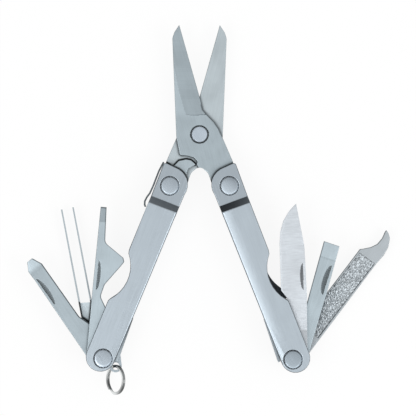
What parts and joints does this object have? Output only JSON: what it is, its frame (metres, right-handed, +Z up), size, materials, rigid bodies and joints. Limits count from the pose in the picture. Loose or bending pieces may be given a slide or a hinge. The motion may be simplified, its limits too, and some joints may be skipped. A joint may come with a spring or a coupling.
{
  "type": "multi tool",
  "caption": "Keychain multi tool: spring scissors between folding channel handles that hold a knife, nail file, drivers, tweezers and cap opener, with a split key ring.",
  "frame": {"origin": "middle of the underside of the bounding box, on the surface that the open tool lies on", "axes": "+Z up through the tool's thickness, +Y from the handles towards the scissor tips, +X to the right seen from above"},
  "size_m": [0.109, 0.1112, 0.0115],
  "materials": {
    "handle_steel": "satin brushed sheet",
    "pin_steel": "turned, flat polished heads",
    "spacer_steel": "plain turned",
    "spring_steel": "tempered, bright edges",
    "scissor_steel": "ground satin with hollow ground blades",
    "knife_steel": "fine cross grinding",
    "file_steel": "coarse bright grit on satin steel",
    "tool_steel": "stamped satin",
    "ring_chrome": "bright wire"
  },
  "bodies": {
    "scissor_front": {"scissor_half_front": "scissor_steel", "scissor_rivet": "pin_steel", "scissor_rivet_cap": "pin_steel"},
    "scissor_rear": {"scissor_half_rear": "scissor_steel"},
    "lever": {"spring_lever": "tool_steel"},
    "left_handle": {"left_handle": "handle_steel", "left_upper_pin": "pin_steel", "left_upper_pin_cap": "pin_steel", "left_upper_spacer_front": "spacer_steel", "left_upper_spacer_rear": "spacer_steel", "lever_bushing": "spacer_steel", "left_lower_pin": "pin_steel", "left_lower_pin_cap": "pin_steel", "left_lower_spacer": "spacer_steel", "left_lower_washer": "spacer_steel", "left_back_spring": "spring_steel", "scissor_spring": "spring_steel"},
    "bottle_opener": {"bottle_opener": "tool_steel"},
    "phillips_driver": {"phillips_driver": "tool_steel"},
    "tweezers": {"tweezers": "tool_steel"},
    "key_ring": {"key_ring": "ring_chrome"},
    "right_handle": {"right_handle": "handle_steel", "right_upper_pin": "pin_steel", "right_upper_pin_cap": "pin_steel", "right_upper_spacer_front": "spacer_steel", "right_upper_spacer_rear": "spacer_steel", "right_lower_pin": "pin_steel", "right_lower_pin_cap": "pin_steel", "right_lower_spacer": "spacer_steel", "right_lower_washer": "spacer_steel", "right_back_spring": "spring_steel"},
    "knife_blade": {"knife_blade": "knife_steel"},
    "flat_driver": {"flat_driver": "tool_steel"},
    "nail_file": {"nail_file": "file_steel"}
  },
  "joints": [
    {"name": "right_handle_fold", "type": "hinge", "parent": "scissor_front", "child": "right_handle", "pos_m": [0.00604, 0.00721, 0.00575], "axis": [0, 0, 1], "range_deg": [0, 164]},
    {"name": "scissor_cut", "type": "hinge", "parent": "scissor_front", "child": "scissor_rear", "pos_m": [-0.00289, 0.02266, 0.00575], "axis": [0, 0, 1], "range_deg": [0, 21], "stiffness_Nm_per_rad": 0.2, "springref_deg": -2.86},
    {"name": "lever_press", "type": "hinge", "parent": "scissor_rear", "child": "lever", "pos_m": [-0.01182, 0.00721, 0.00575], "axis": [0, 0, 1], "range_deg": [0, 32.57]},
    {"name": "left_handle_fold", "type": "hinge", "parent": "scissor_rear", "child": "left_handle", "pos_m": [-0.01182, 0.00721, 0.00575], "axis": [0, 0, -1], "range_deg": [0, 164]},
    {"name": "opener_fold", "type": "hinge", "parent": "left_handle", "child": "bottle_opener", "pos_m": [-0.03172, -0.04438, 0.00575], "axis": [0, 0, -1], "range_deg": [-163.5, 15]},
    {"name": "phillips_fold", "type": "hinge", "parent": "left_handle", "child": "phillips_driver", "pos_m": [-0.03172, -0.04438, 0.00575], "axis": [0, 0, -1], "range_deg": [-122.9, 57.1]},
    {"name": "tweezers_fold", "type": "hinge", "parent": "left_handle", "child": "tweezers", "pos_m": [-0.03172, -0.04438, 0.00575], "axis": [0, 0, -1], "range_deg": [-148.1, 31.9]},
    {"name": "knife_fold", "type": "hinge", "parent": "right_handle", "child": "knife_blade", "pos_m": [0.02505, -0.04472, 0.00575], "axis": [0, 0, 1], "range_deg": [-160.5, 18.7]},
    {"name": "driver_fold", "type": "hinge", "parent": "right_handle", "child": "flat_driver", "pos_m": [0.02505, -0.04472, 0.00575], "axis": [0, 0, 1], "range_deg": [-141.2, 38.8]},
    {"name": "file_fold", "type": "hinge", "parent": "right_handle", "child": "nail_file", "pos_m": [0.02505, -0.04472, 0.00575], "axis": [0, 0, 1], "range_deg": [-123.5, 55.1]},
    {"name": "ring_swing", "type": "hinge", "parent": "left_handle", "child": "key_ring", "pos_m": [-0.0281, -0.04699, 0.00575], "axis": [0.6018, 0, 0.7986], "range_deg": [-15, 50]}
  ],
  "couplings": [
    {"joint": "lever_press", "follows": "scissor_cut", "ratio": 1.55}
  ]
}
